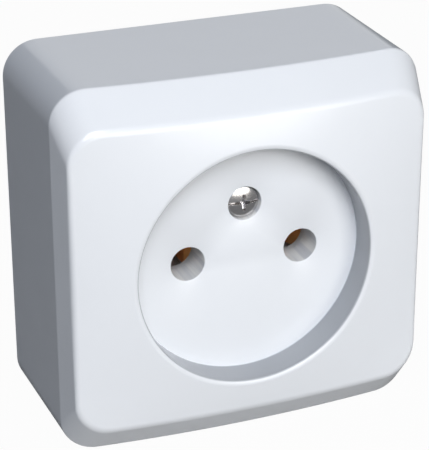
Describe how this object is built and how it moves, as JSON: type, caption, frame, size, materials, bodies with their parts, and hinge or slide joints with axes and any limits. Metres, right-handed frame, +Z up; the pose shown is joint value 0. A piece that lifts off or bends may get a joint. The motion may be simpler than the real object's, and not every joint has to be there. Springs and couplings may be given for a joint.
{
  "type": "surface mounted socket",
  "caption": "Surface mounted mains socket for two round pins, with a square one-piece cover, a round plug recess and screw terminals on a wall base.",
  "frame": {"origin": "centre of the face that lies on the wall", "axes": "+X to the right seen from the front, +Y into the wall, +Z up; the front looks along -Y"},
  "size_m": [0.061, 0.0318, 0.061],
  "materials": {
    "cover_plastic": "polished white ABS moulding",
    "base_plastic": "fine matt grey-white thermoset moulding",
    "guard_plastic": "fine matt grey moulding",
    "insulator": "pressed fibre board",
    "polished_steel": "bright plated steel with a turned head",
    "plated_steel": "zinc plated steel",
    "copper_alloy": "rolled copper alloy strip",
    "brass": "drawn brass",
    "spring_steel": "blued spring steel strip"
  },
  "bodies": {
    "base": {"base": "base_plastic", "contact_guard": "guard_plastic", "cover_nut": "plated_steel", "insulating_strip": "insulator", "left_contact": "copper_alloy", "right_contact": "copper_alloy", "left_contact_spring": "spring_steel", "right_contact_spring": "spring_steel", "left_rivet": "brass", "right_rivet": "brass"},
    "cover": {"cover": "cover_plastic"},
    "cover_screw": {"cover_screw": "polished_steel"},
    "left_upper_clamp": {"left_upper_clamp": "plated_steel"},
    "left_upper_screw": {"left_upper_screw": "plated_steel"},
    "left_lower_clamp": {"left_lower_clamp": "plated_steel"},
    "left_lower_screw": {"left_lower_screw": "plated_steel"},
    "right_upper_clamp": {"right_upper_clamp": "plated_steel"},
    "right_upper_screw": {"right_upper_screw": "plated_steel"},
    "right_lower_clamp": {"right_lower_clamp": "plated_steel"},
    "right_lower_screw": {"right_lower_screw": "plated_steel"}
  },
  "joints": [
    {"name": "cover_lift", "type": "slide", "parent": "base", "child": "cover", "axis": [0, -1, 0], "range_m": [0, 0.035]},
    {"name": "cover_screw_turn", "type": "hinge", "parent": "cover", "child": "cover_screw", "pos_m": [0, -0.0228, 0.0087], "axis": [0, -1, 0], "continuous": true},
    {"name": "left_upper_clamp_lift", "type": "slide", "parent": "base", "child": "left_upper_clamp", "axis": [0, -1, 0], "range_m": [0, 0.002]},
    {"name": "left_upper_screw_turn", "type": "hinge", "parent": "left_upper_clamp", "child": "left_upper_screw", "pos_m": [-0.0095, -0.0072, 0.0135], "axis": [0, -1, 0], "range_deg": [0, 1200]},
    {"name": "left_lower_clamp_lift", "type": "slide", "parent": "base", "child": "left_lower_clamp", "axis": [0, -1, 0], "range_m": [0, 0.002]},
    {"name": "left_lower_screw_turn", "type": "hinge", "parent": "left_lower_clamp", "child": "left_lower_screw", "pos_m": [-0.0095, -0.0072, -0.0135], "axis": [0, -1, 0], "range_deg": [0, 1200]},
    {"name": "right_upper_clamp_lift", "type": "slide", "parent": "base", "child": "right_upper_clamp", "axis": [0, -1, 0], "range_m": [0, 0.002]},
    {"name": "right_upper_screw_turn", "type": "hinge", "parent": "right_upper_clamp", "child": "right_upper_screw", "pos_m": [0.0095, -0.0072, 0.0135], "axis": [0, -1, 0], "range_deg": [0, 1200]},
    {"name": "right_lower_clamp_lift", "type": "slide", "parent": "base", "child": "right_lower_clamp", "axis": [0, -1, 0], "range_m": [0, 0.002]},
    {"name": "right_lower_screw_turn", "type": "hinge", "parent": "right_lower_clamp", "child": "right_lower_screw", "pos_m": [0.0095, -0.0072, -0.0135], "axis": [0, -1, 0], "range_deg": [0, 1200]}
  ],
  "couplings": [
    {"joint": "left_upper_screw_turn", "follows": "left_upper_clamp_lift", "rad_per_m": 10472},
    {"joint": "left_lower_screw_turn", "follows": "left_lower_clamp_lift", "rad_per_m": 10472},
    {"joint": "right_upper_screw_turn", "follows": "right_upper_clamp_lift", "rad_per_m": 10472},
    {"joint": "right_lower_screw_turn", "follows": "right_lower_clamp_lift", "rad_per_m": 10472}
  ]
}
